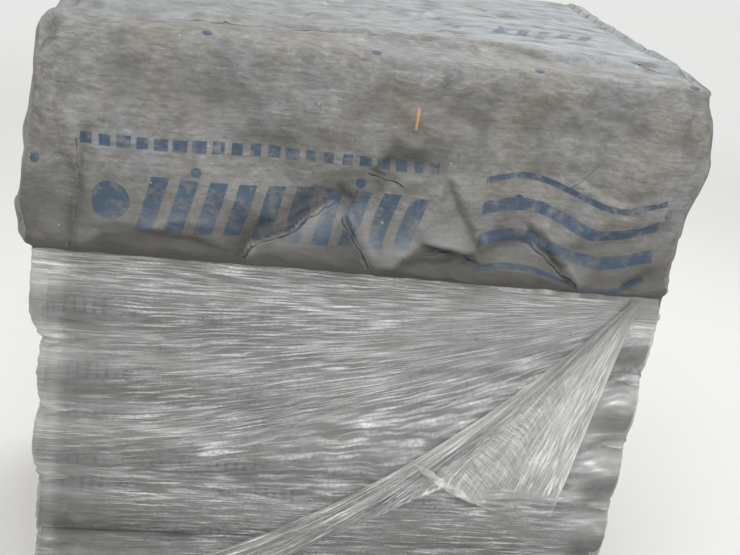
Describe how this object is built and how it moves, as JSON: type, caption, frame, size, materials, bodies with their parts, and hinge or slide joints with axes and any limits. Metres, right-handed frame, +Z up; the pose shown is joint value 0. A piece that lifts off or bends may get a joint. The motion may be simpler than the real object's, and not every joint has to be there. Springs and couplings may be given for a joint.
{
  "type": "pallet load of synthetic roofing underlayment rolls",
  "caption": "Rolls of woven synthetic roofing underlayment stacked full length on a notched wooden pallet, bound with clear stretch film under a draped hood of the same cloth.",
  "frame": {"origin": "centre of the pallet's underside, on the floor", "axes": "+Z up; +X along the rolls, to the right as the load is seen in the picture; the front of the load, where the film's loose end lies, faces -Y"},
  "size_m": [1.306, 1.019, 1.3947],
  "materials": {
    "underlayment": "coated woven polypropylene wound on a core, matt grey with faded blue bands",
    "hood_cloth": "coated woven polypropylene sheet, weathered matt grey with faded blue marks",
    "stretch_film": "clear polyethylene stretch film, wrinkled, with bright streaks",
    "pallet_wood": "rough sawn softwood, unpainted"
  },
  "bodies": {
    "root": {"roll_layer_1": "underlayment", "roll_layer_2": "underlayment", "roll_layer_3": "underlayment", "roll_layer_4": "underlayment", "roll_layer_5": "underlayment", "roll_layer_6": "underlayment", "roll_layer_7": "underlayment", "roll_layer_8": "underlayment", "roll_core": "underlayment", "hood_sheet": "hood_cloth", "stretch_film": "stretch_film", "film_tail": "stretch_film", "deck_board_1": "pallet_wood", "deck_board_2": "pallet_wood", "deck_board_3": "pallet_wood", "deck_board_4": "pallet_wood", "deck_board_5": "pallet_wood", "deck_board_6": "pallet_wood", "deck_board_7": "pallet_wood", "base_board_1": "pallet_wood", "base_board_2": "pallet_wood", "base_board_3": "pallet_wood", "base_board_4": "pallet_wood", "base_board_5": "pallet_wood", "stringer_1": "pallet_wood", "stringer_2": "pallet_wood", "stringer_3": "pallet_wood"}
  },
  "joints": []
}
